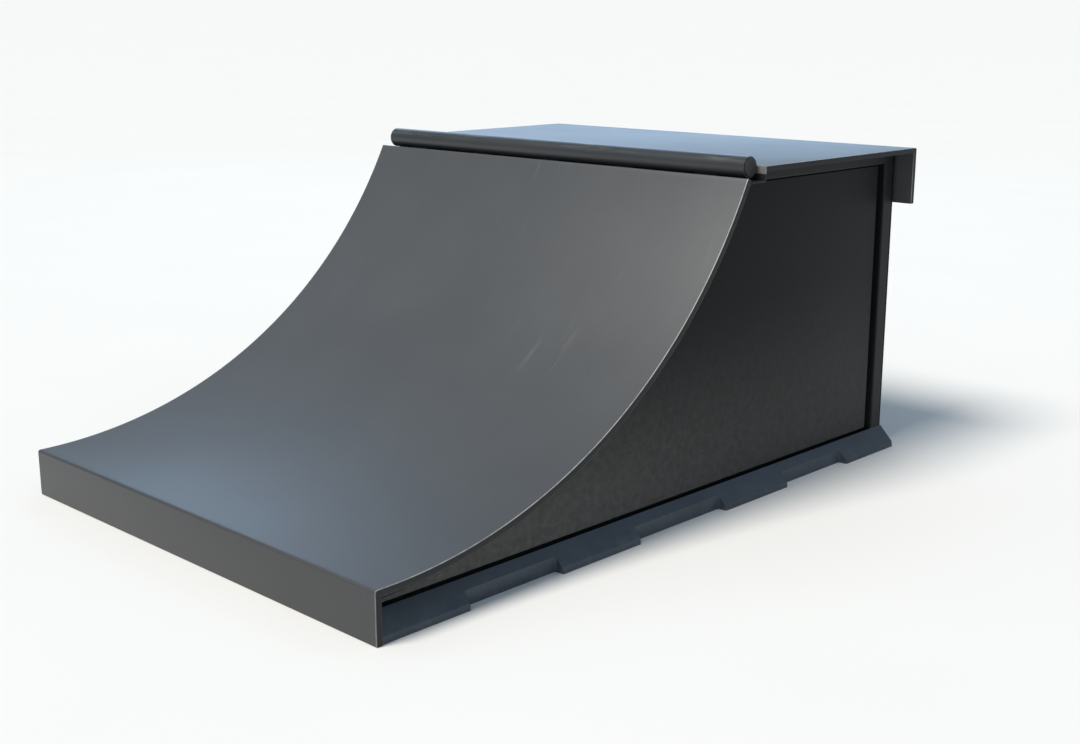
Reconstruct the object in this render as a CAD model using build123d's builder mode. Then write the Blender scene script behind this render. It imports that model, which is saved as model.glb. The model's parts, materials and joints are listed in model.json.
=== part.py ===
# Quarter-pipe ramp module: a curved riding sheet with a coping tube along its crest and a flat
# deck whose rear edge turns down into a hook lip, on a steel frame with tray panels, moulded
# skirts, screw feet and a rear access hatch.
#
# Millimetres, +Z up. X runs across the ramp and is centred. Y runs from the low front (-Y) to
# the deck's rear edge (+Y) and is centred on the overall depth. Z = 0 is the ground.

import os
from math import acos, copysign, cos, radians, sin

from build123d import *

os.makedirs("parts", exist_ok=True)

# ---- overall sizes -------------------------------------------------------------------------
width = 1220.0
depth = 1750.0
deck_height = 765.0

# ---- riding sheet and deck sheet -----------------------------------------------------------
ride_thickness = 15.0
ride_radius = 1162.0
apron_height = 108.0
apron_bend_radius = 6.0
ride_flat = 3.0  # level stretch between the apron's back and the foot of the curve
crest_drop = 21.5  # from the deck's top down to the riding sheet's top edge
deck_thickness = 12.0
deck_bend_radius = 4.0
hook_drop = 138.0  # from the deck's top to the hook lip's lower edge
sheet_edge_radius = 1.5

# ---- coping --------------------------------------------------------------------------------
coping_diameter = 48.3
coping_wall = 3.2
coping_end_inset = 22.0
coping_below_deck = 2.0  # tube centre below the deck's top
coping_gap = 10.0  # between the riding sheet's top edge and the tube, along Y
upstand_gap = 2.0
channel_thickness = 4.0
saddle_thickness = 5.0
saddle_length = 60.0
saddle_count = 5
saddle_end_distance = 110.0  # from the tube's end to the end saddle's middle
plug_flange_inset = 3.15  # from the tube's outside to the plug's flange
plug_flange_thickness = 3.0
plug_spigot_length = 25.0
coping_bolt_diameter = 10.0
coping_nut_height = 8.0
coping_nut_flats = 17.0
bolt_head_ratio = 0.65  # head height over shank diameter
bolt_flats_ratio = 1.7  # width across flats over shank diameter

# ---- side frames ---------------------------------------------------------------------------
side_inset = 43.0  # from the deck's side edge to the frame's outer face
frame_width = 40.0
frame_wall = 3.0
frame_corner_radius = 4.0
rail_depth = 26.0
base_rail_top = 38.0
base_rail_lift = 3.0
post_depth = 40.0
hook_gap = 17.0  # between the rear panel and the inner face of the hook lip
gusset_reach = 30.0

# ---- side panels ---------------------------------------------------------------------------
panel_recess = 6.0
panel_sheet = 3.0
panel_tray_depth = 18.0
panel_gap = 1.5
panel_bottom = 55.0
panel_groove = 20.0  # between the panel's rear edge and the rear post
panel_edge_radius = 3.0
backing_thickness = 3.0
backing_width = 28.0
panel_block_size = 22.0
panel_block_margin = 1.0
block_arc_angles = (30.0, 42.0, 54.0)
blocks_per_row = 4
blocks_up_rear = 5  # rows up the rear edge, with the two corners
panel_screw_diameter = 8.0
panel_screw_bite = 12.0

# ---- skirts --------------------------------------------------------------------------------
skirt_top = 50.0
skirt_foot_reach = 39.0  # how far the foot stands out from the frame's face
skirt_lip_height = 13.0
skirt_lip_batter = 3.0
skirt_edge_radius = 3.0
skirt_rear_reach = 7.0  # how far the skirt runs past the rear post
skirt_end_pad_length = 217.0
skirt_pad_length = 240.0
skirt_pad_offset = 267.0  # from the skirt's middle to the middle of an inner pad
notch_face_reach = 17.0
notch_corner_radius = 6.0
skirt_bolt_diameter = 8.0
skirt_bolt_bite = 16.0
skirt_bolt_height = 20.0

# ---- inner frame ---------------------------------------------------------------------------
inner_rib_thickness = 6.0
inner_rib_spacing = 352.0
inner_rib_floor_gap = 12.0
inner_rib_rear_gap = 60.0
ride_joist_count = 6
ride_joist_first_angle = 12.0
ride_joist_crest_distance = 137.0  # along the curve, from the coping channel to the last joist
joist_width = 40.0
joist_depth = 26.0
deck_joist_count = 3
# each inner rib's round holes: diameter, share of the depth, share of the height under the sheets
lightening_holes = (
    (90.0, 0.42, 0.50),
    (140.0, 0.54, 0.48),
    (150.0, 0.67, 0.30),
    (150.0, 0.67, 0.68),
    (150.0, 0.80, 0.30),
    (150.0, 0.80, 0.68),
)

# ---- rear panel and hatch ------------------------------------------------------------------
rear_sheet = 3.0
rear_panel_lift = 5.0
hatch_opening_width = 600.0
hatch_opening_sill = 105.0
hatch_lip_gap = 52.0  # from the hatch opening's top up to the hook lip's lower edge
hatch_gap = 4.0
hatch_tray_depth = 15.0
hatch_corner_radius = 12.0
hatch_edge_radius = 2.0
jamb_width = 30.0
jamb_setback = 2.0
vent_slot_length = 120.0
vent_slot_width = 10.0
vent_slot_pitch = 24.0
vent_slot_count = 9
rear_screw_diameter = 6.0
rear_screw_head = 12.0
rear_screw_head_height = 3.0
rear_screw_dome_radius = 1.8
rear_screw_length = 9.0
rear_screw_end_distance = 30.0
rear_screws_per_post = 5

# ---- hatch hinges and latches --------------------------------------------------------------
hinge_height = 66.0
hinge_edge_distance = 105.0  # from the hatch opening's top or bottom to a hinge's middle
hinge_leaf_width = 34.0
hinge_leaf_thickness = 3.0
knuckle_diameter = 12.0
knuckle_gap = 0.4
knuckle_count = 3
pin_diameter = 6.0
pin_head_diameter = 9.0
pin_head_height = 2.0
running_clearance = 0.05
moving_gap = 0.4
latch_edge_distance = 26.0
latch_height_distance = 110.0
latch_shaft_diameter = 12.0
latch_collar_diameter = 20.0
latch_collar_length = 6.0
latch_plate_diameter = 40.0
latch_plate_thickness = 3.0
latch_grip_length = 34.0
latch_grip_width = 9.0
latch_grip_height = 12.0
cam_reach = 50.0  # from the shaft's centre to the centre of the cam's round tip
cam_width = 18.0
cam_thickness = 5.0

# ---- screw feet ----------------------------------------------------------------------------
foot_front_setback = 130.0
foot_rear_setback = 150.0
foot_bracket_size = 64.0
foot_bracket_thickness = 8.0
foot_side_distance = 34.0  # from the base rail's inner face to the spindle's centre
foot_spindle_diameter = 16.0
foot_spindle_length = 92.0
foot_spindle_square = 9.6  # across the flats of the square end that a key turns
foot_spindle_square_height = 10.0
foot_pad_diameter = 54.0
foot_pad_height = 9.0
foot_pad_floor = 3.0
foot_pad_edge_radius = 3.0
foot_nut_flats = 24.0
foot_nut_height = 13.0

# ---- places worked out from the sizes ------------------------------------------------------
front = -depth / 2
rear = depth / 2
half_width = width / 2
arc_center_y = front + ride_thickness + ride_flat
arc_center_z = apron_height + ride_radius
under_radius = ride_radius + ride_thickness
rib_radius = under_radius + rail_depth
crest_z = deck_height - crest_drop
crest_angle = acos((arc_center_z - crest_z) / ride_radius)
crest_y = arc_center_y + ride_radius * sin(crest_angle)

coping_radius = coping_diameter / 2
coping_y = crest_y + coping_gap + coping_radius
coping_z = deck_height - coping_below_deck
coping_half_length = half_width - coping_end_inset
channel_floor = coping_z - coping_radius - saddle_thickness
channel_under = channel_floor - channel_thickness
upstand_y = coping_y + coping_radius + upstand_gap
deck_front = upstand_y + channel_thickness
deck_under = deck_height - deck_thickness

face_x = half_width - side_inset  # outer face of the side frames
frame_inner_x = face_x - frame_width
panel_x = face_x - panel_recess  # outer face of the side panels
rail_under = deck_under - rail_depth
rear_sheet_outer = rear - deck_thickness - hook_gap
post_rear = rear_sheet_outer - rear_sheet
post_front = post_rear - post_depth
skirt_rear = post_rear + skirt_rear_reach
frame_front = front + ride_thickness

hatch_half_width = hatch_opening_width / 2
hatch_opening_top = deck_height - hook_drop - hatch_lip_gap
hatch_opening_height = hatch_opening_top - hatch_opening_sill
hinge_axis_x = -hatch_half_width
hinge_axis_y = rear_sheet_outer + knuckle_diameter / 2 + moving_gap
latch_x = hatch_half_width - hatch_gap - latch_edge_distance
cam_front_y = post_rear - jamb_width - moving_gap - cam_thickness
sides = (("left", -1), ("right", 1))


def save(piece, name):
    """Label a finished piece and write its STEP file."""
    piece.part.label = name
    export_step(piece.part, f"parts/{name}.step")


def on_arc(radius, angle):
    """Point (y, z) on a circle about the riding curve's centre, the angle from straight down."""
    return (arc_center_y + radius * sin(angle), arc_center_z - radius * cos(angle))


def angle_at(radius, z):
    """Angle at which a circle about the riding curve's centre reaches the height z."""
    return acos((arc_center_z - z) / radius)


def side_start(sign, inner, outer):
    """X of the lower face of a piece that lies between two distances from the middle."""
    return inner if sign > 0 else -outer


def arc_band(x, inner_radius, outer_radius, top_z, start_angle=0.0):
    """Face between two circles about the riding curve's centre, cut level at top_z."""
    inner_end = angle_at(inner_radius, top_z)
    outer_end = angle_at(outer_radius, top_z)
    with BuildSketch(Plane.YZ.offset(x)) as band:
        with BuildLine():
            upper = ThreePointArc(
                on_arc(inner_radius, start_angle),
                on_arc(inner_radius, (start_angle + inner_end) / 2),
                on_arc(inner_radius, inner_end),
            )
            lower = ThreePointArc(
                on_arc(outer_radius, outer_end),
                on_arc(outer_radius, (start_angle + outer_end) / 2),
                on_arc(outer_radius, start_angle),
            )
            Line(upper @ 1, lower @ 0)
            Line(lower @ 1, upper @ 0)
        make_face()
    return band.sketch


def tube_section(plane, across, along):
    """Rounded hollow rectangle, centred on the plane's origin."""
    with BuildSketch(plane) as section:
        RectangleRounded(across, along, frame_corner_radius)
        RectangleRounded(
            across - 2 * frame_wall,
            along - 2 * frame_wall,
            frame_corner_radius / 2,
            mode=Mode.SUBTRACT,
        )
    return section.sketch


def cross_plane(y, x=0.0, z=0.0):
    """Upright plane across the ramp at y, seen from the front: its X is +X, its normal -Y."""
    return Plane(origin=(x, y, z), x_dir=(1, 0, 0), z_dir=(0, -1, 0))


def rear_plane(y, x=0.0, z=0.0):
    """Upright plane across the ramp at y, whose normal points to the rear."""
    return Plane(origin=(x, y, z), x_dir=(-1, 0, 0), z_dir=(0, 1, 0))


def spread(first, last, count):
    """Evenly spaced values from first to last."""
    return [first + (last - first) * i / (count - 1) for i in range(count)]


def under_curve_area(x, radius, y_low, y_high, z_low, z_high):
    """The part of an upright rectangle below a circle about the curve's centre and the channel."""
    with BuildSketch(Plane.YZ.offset(x)) as area:
        with Locations(((y_low + y_high) / 2, (z_low + z_high) / 2)):
            Rectangle(y_high - y_low, z_high - z_low)
        with Locations((arc_center_y, arc_center_z)):
            Circle(radius, mode=Mode.SUBTRACT)
        with Locations(((front + deck_front) / 2, (channel_under + deck_height) / 2)):
            Rectangle(deck_front - front, deck_height - channel_under, mode=Mode.SUBTRACT)
    return area.sketch


def screw_hole_cutter(places, y_from, y_to):
    """Round cutters along Y at (x, z) places."""
    with BuildPart() as cutter:
        with BuildSketch(cross_plane(y_from)):
            with Locations(places):
                Circle(rear_screw_diameter / 2)
        extrude(amount=y_from - y_to)
    return cutter.part


# ---- places of the fastenings and pads that several pieces share ------------------------------
skirt_middle = (frame_front + skirt_rear) / 2
end_pad_middle = (skirt_rear - frame_front) / 2 - skirt_end_pad_length / 2
pads = [
    (skirt_middle - end_pad_middle, skirt_end_pad_length),
    (skirt_middle - skirt_pad_offset, skirt_pad_length),
    (skirt_middle + skirt_pad_offset, skirt_pad_length),
    (skirt_middle + end_pad_middle, skirt_end_pad_length),
]
notches = []
for (y, length), (next_y, next_length) in zip(pads, pads[1:]):
    notches.append((y + length / 2, next_y - next_length / 2))
skirt_bolt_places = [(y, skirt_bolt_height) for y, length in pads]

frame_middle_x = face_x - frame_width / 2
jamb_x = hatch_half_width + jamb_setback + jamb_width / 2
hatch_middle_z = hatch_opening_sill + hatch_opening_height / 2
post_screw_heights = spread(
    base_rail_top + rear_screw_end_distance, rail_under - rear_screw_end_distance, rear_screws_per_post
)
jamb_screw_heights = [
    hatch_opening_sill - rear_screw_end_distance,
    hatch_middle_z,
    hatch_opening_top + rear_screw_end_distance,
]
screw_places = [(sign * frame_middle_x, z) for side, sign in sides for z in post_screw_heights]
screw_places += [(sign * jamb_x, z) for side, sign in sides for z in jamb_screw_heights]
screw_tip_y = rear_sheet_outer - rear_screw_length

# ---- riding sheet: apron, tight bend and curve in one moulding --------------------------------
with BuildPart() as ride_sheet:
    with BuildSketch(Plane.YZ.offset(-half_width)):
        with BuildLine():
            top_curve = ThreePointArc(
                on_arc(ride_radius, 0),
                on_arc(ride_radius, crest_angle / 2),
                on_arc(ride_radius, crest_angle),
            )
            under_curve = ThreePointArc(
                on_arc(under_radius, crest_angle),
                on_arc(under_radius, crest_angle / 2),
                on_arc(under_radius, 0),
            )
            Line(top_curve @ 1, under_curve @ 0)
            Polyline(
                under_curve @ 1,
                (frame_front, apron_height - ride_thickness),
                (frame_front, 0),
                (front, 0),
                (front, apron_height),
                top_curve @ 0,
            )
        make_face()
    extrude(amount=width)
    along_x = ride_sheet.edges().filter_by(Axis.X)
    fillet(along_x.filter_by_position(Axis.Y, front, front).sort_by(Axis.Z)[-1], apron_bend_radius)
save(ride_sheet, "ride_sheet")

# ---- deck sheet: flat deck and the hook lip at its rear ----------------------------------------
with BuildPart() as deck_sheet:
    with BuildSketch(Plane.YZ.offset(-half_width)):
        with BuildLine():
            Polyline(
                (deck_front, deck_under),
                (deck_front, deck_height),
                (rear, deck_height),
                (rear, deck_height - hook_drop),
                (rear - deck_thickness, deck_height - hook_drop),
                (rear - deck_thickness, deck_under),
                close=True,
            )
        make_face()
    extrude(amount=width)
    outer_bend = deck_sheet.edges().filter_by(Axis.X).group_by(Axis.Z)[-1].sort_by(Axis.Y)[-1]
    fillet(outer_bend, deck_bend_radius)
    side_edges = deck_sheet.faces().sort_by(Axis.X)[0].edges()
    side_edges += deck_sheet.faces().sort_by(Axis.X)[-1].edges()
    fillet(side_edges.group_by(Axis.Z)[-1], sheet_edge_radius)
save(deck_sheet, "deck_sheet")

# ---- coping: channel, saddles, tube, plugs and its bolts ---------------------------------------
channel_front = arc_center_y + under_radius * sin(angle_at(under_radius, channel_floor))
saddle_pitch = 2 * (coping_half_length - saddle_end_distance) / (saddle_count - 1)
saddle_places = [(i - (saddle_count - 1) / 2) * saddle_pitch for i in range(saddle_count)]

with BuildPart() as coping_channel:
    with BuildSketch(Plane.YZ.offset(-half_width)):
        with BuildLine():
            Polyline(
                (channel_front, channel_floor),
                (upstand_y, channel_floor),
                (upstand_y, deck_height),
                (deck_front, deck_height),
                (deck_front, channel_under),
                (channel_front, channel_under),
                close=True,
            )
        make_face()
    extrude(amount=width)
    bend_edges = coping_channel.edges().filter_by(Axis.X)
    fillet(bend_edges.group_by(Axis.Z)[0].sort_by(Axis.Y)[-1], channel_thickness)
    with Locations([Location((x, coping_y, channel_under)) for x in saddle_places]):
        Cylinder(coping_bolt_diameter / 2, 3 * channel_thickness, mode=Mode.SUBTRACT)
save(coping_channel, "coping_channel")

with BuildPart() as coping_tube:
    with BuildSketch(Plane.YZ.offset(-coping_half_length)):
        with Locations((coping_y, coping_z)):
            Circle(coping_radius)
            Circle(coping_radius - coping_wall, mode=Mode.SUBTRACT)
    extrude(amount=2 * coping_half_length)
    rim_edges = coping_tube.edges().filter_by(GeomType.CIRCLE).group_by(SortBy.RADIUS)[-1]
    chamfer(rim_edges, coping_wall / 4)
    with Locations([Location((x, coping_y, coping_z - coping_radius)) for x in saddle_places]):
        Cylinder(coping_bolt_diameter / 2, 4 * coping_wall, mode=Mode.SUBTRACT)
save(coping_tube, "coping_tube")

with BuildPart() as coping_saddles:
    for x in saddle_places:
        with BuildSketch(Plane.YZ.offset(x - saddle_length / 2)):
            with BuildLine():
                saddle_top = channel_floor + saddle_thickness * 2
                saddle_edge = (coping_radius**2 - (saddle_top - coping_z) ** 2) ** 0.5
                cradle = ThreePointArc(
                    (coping_y - saddle_edge, saddle_top),
                    (coping_y, coping_z - coping_radius),
                    (coping_y + saddle_edge, saddle_top),
                )
                Polyline(
                    cradle @ 1,
                    (coping_y + saddle_edge, channel_floor),
                    (coping_y - saddle_edge, channel_floor),
                    cradle @ 0,
                )
            make_face()
        extrude(amount=saddle_length)
    with Locations([Location((x, coping_y, channel_floor)) for x in saddle_places]):
        Cylinder(coping_bolt_diameter / 2, 4 * saddle_thickness, mode=Mode.SUBTRACT)
save(coping_saddles, "coping_saddles")

bolt_tip = coping_z - coping_radius + coping_wall + coping_nut_height
bolt_head_height = coping_bolt_diameter * bolt_head_ratio
nut_seat_half = coping_nut_flats / 2
inner_coping_radius = coping_radius - coping_wall
nut_seat_z = coping_z - (inner_coping_radius**2 - nut_seat_half**2) ** 0.5
with BuildPart() as coping_bolts:
    for x in saddle_places:
        with BuildSketch(Plane.XY.offset(channel_under - bolt_head_height)):
            with Locations((x, coping_y)):
                RegularPolygon(coping_bolt_diameter * bolt_flats_ratio / 2, 6, major_radius=False)
        extrude(amount=bolt_head_height)
        with BuildSketch(Plane.XY.offset(channel_under)):
            with Locations((x, coping_y)):
                Circle(coping_bolt_diameter / 2)
        extrude(amount=bolt_tip - channel_under)
    chamfer(coping_bolts.faces().filter_by(Axis.Z).group_by(Axis.Z)[-1].edges(), 1)
save(coping_bolts, "coping_bolts")

with BuildPart() as coping_weld_nuts:
    for x in saddle_places:
        with BuildSketch(Plane.XY.offset(nut_seat_z)):
            with Locations((x, coping_y)):
                RegularPolygon(nut_seat_half, 6, major_radius=False)
                Circle(coping_bolt_diameter / 2, mode=Mode.SUBTRACT)
        extrude(amount=coping_nut_height)
save(coping_weld_nuts, "coping_weld_nuts")

for side, sign in sides:
    with BuildPart() as end_plug:
        plug_face = Plane(
            origin=(sign * coping_half_length, coping_y, coping_z), x_dir=(0, 1, 0), z_dir=(sign, 0, 0)
        )
        with BuildSketch(plug_face):
            Circle(coping_radius - plug_flange_inset)
        extrude(amount=plug_flange_thickness)
        chamfer(end_plug.edges().group_by(Axis.X)[-1 if sign > 0 else 0], 1)
        with BuildSketch(plug_face):
            Circle(inner_coping_radius)
            Circle(inner_coping_radius - coping_wall, mode=Mode.SUBTRACT)
        extrude(amount=-plug_spigot_length)
    save(end_plug, f"coping_plug_{side}")

# ---- side frames: base rails, rear posts, top rails, curved ribs, crest gussets ----------------
base_rail_height = base_rail_top - base_rail_lift
base_rail_z = (base_rail_top + base_rail_lift) / 2

for side, sign in sides:
    x_start = side_start(sign, frame_inner_x, face_x)

    with BuildPart() as base_rail:
        start = cross_plane(frame_front, sign * frame_middle_x, base_rail_z)
        extrude(tube_section(start, frame_width, base_rail_height), amount=frame_front - post_rear)
        with BuildSketch(Plane.YZ.offset(x_start)):
            with Locations(skirt_bolt_places):
                Circle(skirt_bolt_diameter / 2)
        extrude(amount=frame_width, mode=Mode.SUBTRACT)
    save(base_rail, f"base_rail_{side}")

    with BuildPart() as rear_post:
        foot = Plane(origin=(sign * frame_middle_x, post_rear - post_depth / 2, base_rail_top))
        extrude(tube_section(foot, frame_width, post_depth), amount=deck_under - base_rail_top)
        places = [(sign * frame_middle_x, z) for z in post_screw_heights]
        add(screw_hole_cutter(places, screw_tip_y, post_rear), mode=Mode.SUBTRACT)
    save(rear_post, f"rear_post_{side}")

    with BuildPart() as top_rail:
        start = cross_plane(deck_front, sign * frame_middle_x, deck_under - rail_depth / 2)
        extrude(tube_section(start, frame_width, rail_depth), amount=deck_front - post_front)
    save(top_rail, f"top_rail_{side}")

    with BuildPart() as curved_rib:
        extrude(arc_band(x_start, under_radius, rib_radius, channel_under), amount=frame_width)
        hollow = arc_band(
            x_start + frame_wall, under_radius + frame_wall, rib_radius - frame_wall, channel_under
        )
        extrude(hollow, amount=frame_width - 2 * frame_wall, mode=Mode.SUBTRACT)
    save(curved_rib, f"curved_rib_{side}")

with BuildPart() as crest_gussets:
    for side, sign in sides:
        with BuildSketch(Plane.YZ.offset(side_start(sign, panel_x, panel_x + frame_wall))):
            with BuildLine():
                rib_side = ThreePointArc(
                    on_arc(rib_radius, angle_at(rib_radius, channel_under)),
                    on_arc(rib_radius, angle_at(rib_radius, channel_under - gusset_reach / 2)),
                    on_arc(rib_radius, angle_at(rib_radius, channel_under - gusset_reach)),
                )
                Polyline(
                    rib_side @ 1,
                    (deck_front + gusset_reach, rail_under),
                    (deck_front, rail_under),
                    (deck_front, channel_under),
                    rib_side @ 0,
                )
            make_face()
        extrude(amount=frame_wall)
save(crest_gussets, "crest_gussets")

# ---- side panels: folded trays set back in the side frames, on backing frames ------------------
panel_radius = rib_radius + panel_gap
panel_top = min(rail_under, channel_under) - panel_gap
panel_front = frame_front + panel_gap
panel_rear = post_front - panel_groove
backing_x = panel_x - panel_tray_depth - backing_thickness
block_margin = panel_sheet + panel_block_margin + panel_block_size / 2

block_top_z = panel_top - block_margin
block_low_z = panel_bottom + block_margin
block_rear_y = panel_rear - block_margin
block_arc_radius = panel_radius + block_margin + panel_block_size / 4
block_top_start = deck_front + 2 * block_margin
block_low_start = front + depth / 3
block_places = [on_arc(block_arc_radius, radians(angle)) for angle in block_arc_angles]
block_places += [(y, block_top_z) for y in spread(block_top_start, block_rear_y, blocks_per_row)]
block_places += [(block_rear_y, z) for z in spread(block_low_z, block_top_z, blocks_up_rear)[1:-1]]
block_places += [(y, block_low_z) for y in spread(block_low_start, block_rear_y, blocks_per_row)]

for side, sign in sides:
    tray_start = side_start(sign, panel_x - panel_tray_depth, panel_x)
    outer_side = -1 if sign > 0 else 0

    with BuildPart() as side_panel:
        outline = under_curve_area(
            tray_start, panel_radius, panel_front, panel_rear, panel_bottom, panel_top
        )
        extrude(outline, amount=panel_tray_depth)
        outer_face = side_panel.faces().filter_by(Axis.X).sort_by(Axis.X)[outer_side]
        fillet(outer_face.edges(), panel_edge_radius)
        cavity = under_curve_area(
            side_start(sign, panel_x - panel_tray_depth, panel_x - panel_sheet),
            panel_radius + panel_sheet,
            panel_front + panel_sheet,
            panel_rear - panel_sheet,
            panel_bottom + panel_sheet,
            panel_top - panel_sheet,
        )
        extrude(cavity, amount=panel_tray_depth - panel_sheet, mode=Mode.SUBTRACT)
    save(side_panel, f"side_panel_{side}")

    backing_start = side_start(sign, backing_x, backing_x + backing_thickness)
    with BuildPart() as panel_backing:
        ring = under_curve_area(
            backing_start, rib_radius, frame_front, post_front, base_rail_top, rail_under
        )
        extrude(ring, amount=backing_thickness)
        window = under_curve_area(
            backing_start,
            rib_radius + backing_width,
            frame_front + backing_width,
            panel_rear - backing_width,
            panel_bottom + backing_width,
            rail_under - backing_width,
        )
        extrude(window, amount=backing_thickness, mode=Mode.SUBTRACT)
        with BuildSketch(Plane.YZ.offset(backing_start)):
            with Locations(block_places):
                Circle(panel_screw_diameter / 2)
        extrude(amount=backing_thickness, mode=Mode.SUBTRACT)
    save(panel_backing, f"panel_backing_{side}")

with BuildPart() as panel_blocks:
    for side, sign in sides:
        block_depth = panel_tray_depth - panel_sheet
        block_start = side_start(sign, panel_x - panel_tray_depth, panel_x - panel_sheet)
        tray_inner_x = panel_x - panel_tray_depth
        bite_start = side_start(sign, tray_inner_x, tray_inner_x + panel_screw_bite)
        with BuildSketch(Plane.YZ.offset(block_start)):
            with Locations(block_places):
                Rectangle(panel_block_size, panel_block_size)
        extrude(amount=block_depth)
        with BuildSketch(Plane.YZ.offset(bite_start)):
            with Locations(block_places):
                Circle(panel_screw_diameter / 2)
        extrude(amount=panel_screw_bite, mode=Mode.SUBTRACT)
save(panel_blocks, "panel_blocks")


def side_bolts(places, head_x, diameter, length, sign):
    """Hexagon bolts along X: heads inboard of head_x, shanks running outboard from it."""
    head_height = diameter * bolt_head_ratio
    head_start = side_start(sign, head_x - head_height, head_x)
    shank_start = side_start(sign, head_x, head_x + length)
    with BuildPart() as bolts:
        with BuildSketch(Plane.YZ.offset(head_start)):
            with Locations(places):
                RegularPolygon(diameter * bolt_flats_ratio / 2, 6, major_radius=False)
        extrude(amount=head_height)
        with BuildSketch(Plane.YZ.offset(shank_start)):
            with Locations(places):
                Circle(diameter / 2)
        extrude(amount=length)
    return bolts.part


with BuildPart() as panel_screws:
    for side, sign in sides:
        grip = backing_thickness + panel_screw_bite
        add(side_bolts(block_places, backing_x, panel_screw_diameter, grip, sign))
save(panel_screws, "panel_screws")

# ---- skirts: sloped mouldings along both sides, with pads standing on the ground ---------------
skirt_foot_x = face_x + skirt_foot_reach
notch_middle_x = face_x + notch_face_reach + skirt_foot_reach / 2

for side, sign in sides:
    with BuildPart() as skirt:
        with BuildSketch(cross_plane(frame_front)):
            with BuildLine():
                Polyline(
                    (sign * face_x, 0),
                    (sign * skirt_foot_x, 0),
                    (sign * (skirt_foot_x - skirt_lip_batter), skirt_lip_height),
                    (sign * face_x, skirt_top),
                    close=True,
                )
            make_face()
        extrude(amount=frame_front - skirt_rear)
        lip_edge = skirt.edges().filter_by(Axis.Y).sort_by(Axis.Z)[2]
        fillet(lip_edge, skirt_edge_radius)
        for low, high in notches:
            with BuildSketch():
                with Locations((sign * notch_middle_x, (low + high) / 2)):
                    RectangleRounded(skirt_foot_reach, high - low, notch_corner_radius)
            extrude(amount=skirt_top, mode=Mode.SUBTRACT)
        with BuildSketch(Plane.YZ.offset(side_start(sign, face_x, face_x + skirt_bolt_bite))):
            with Locations(skirt_bolt_places):
                Circle(skirt_bolt_diameter / 2)
        extrude(amount=skirt_bolt_bite, mode=Mode.SUBTRACT)
    save(skirt, f"skirt_{side}")

with BuildPart() as skirt_bolts:
    for side, sign in sides:
        grip = frame_width + skirt_bolt_bite
        add(side_bolts(skirt_bolt_places, frame_inner_x, skirt_bolt_diameter, grip, sign))
save(skirt_bolts, "skirt_bolts")

# ---- inner frame: two plate ribs, joists in three bays, cross rails -----------------------------
inner_rib_front = frame_front + frame_width
inner_rib_rear = post_front - inner_rib_rear_gap
rib_x = inner_rib_spacing / 2


def underside_z(y):
    """Height of the sheets' underside above a place along the ramp."""
    if y >= deck_front:
        return deck_under
    return arc_center_z - (under_radius**2 - (y - arc_center_y) ** 2) ** 0.5


for side, sign in sides:
    rib_start = sign * rib_x - inner_rib_thickness / 2
    with BuildPart() as inner_rib:
        outline = under_curve_area(
            rib_start, under_radius, inner_rib_front, inner_rib_rear, inner_rib_floor_gap, deck_under
        )
        extrude(outline, amount=inner_rib_thickness)
        with BuildSketch(Plane.YZ.offset(rib_start)):
            for diameter, depth_share, height_share in lightening_holes:
                y = front + depth_share * depth
                z = inner_rib_floor_gap + height_share * (underside_z(y) - inner_rib_floor_gap)
                with Locations((y, z)):
                    Circle(diameter / 2)
        extrude(amount=inner_rib_thickness, mode=Mode.SUBTRACT)
    save(inner_rib, f"inner_rib_{side}")

bays = (
    (-frame_inner_x, -rib_x - inner_rib_thickness / 2),
    (-rib_x + inner_rib_thickness / 2, rib_x - inner_rib_thickness / 2),
    (rib_x + inner_rib_thickness / 2, frame_inner_x),
)
ride_joist_last_angle = angle_at(under_radius, channel_under) - ride_joist_crest_distance / under_radius
with BuildPart() as ride_joists:
    for angle in spread(radians(ride_joist_first_angle), ride_joist_last_angle, ride_joist_count):
        y, z = on_arc(under_radius + joist_depth / 2, angle)
        for low, high in bays:
            seat = Plane(origin=(low, y, z), x_dir=(0, cos(angle), sin(angle)), z_dir=(1, 0, 0))
            extrude(tube_section(seat, joist_width, joist_depth), amount=high - low)
save(ride_joists, "ride_joists")

with BuildPart() as deck_joists:
    for y in spread(deck_front, inner_rib_rear, deck_joist_count + 2)[1:-1]:
        for low, high in bays:
            middle = (low, y, deck_under - joist_depth / 2)
            seat = Plane(origin=middle, x_dir=(0, 1, 0), z_dir=(1, 0, 0))
            extrude(tube_section(seat, joist_width, joist_depth), amount=high - low)
save(deck_joists, "deck_joists")


def cross_rail(y, z, across, along):
    """Hollow rail across the ramp between the two side frames."""
    seat = Plane(origin=(-frame_inner_x, y, z), x_dir=(0, 1, 0), z_dir=(1, 0, 0))
    with BuildPart() as rail:
        extrude(tube_section(seat, across, along), amount=2 * frame_inner_x)
    return rail


post_middle = (post_front + post_rear) / 2
front_rail_y = frame_front + frame_width / 2
save(cross_rail(front_rail_y, base_rail_z, frame_width, base_rail_height), "front_cross_rail")
save(cross_rail(post_middle, base_rail_z, post_depth, base_rail_height), "rear_sill")
save(cross_rail(post_middle, deck_under - rail_depth / 2, post_depth, rail_depth), "rear_header")

# ---- rear panel, its jambs and screws ----------------------------------------------------------
vent_x = (jamb_x + jamb_width / 2 + frame_inner_x) / 2

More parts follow.
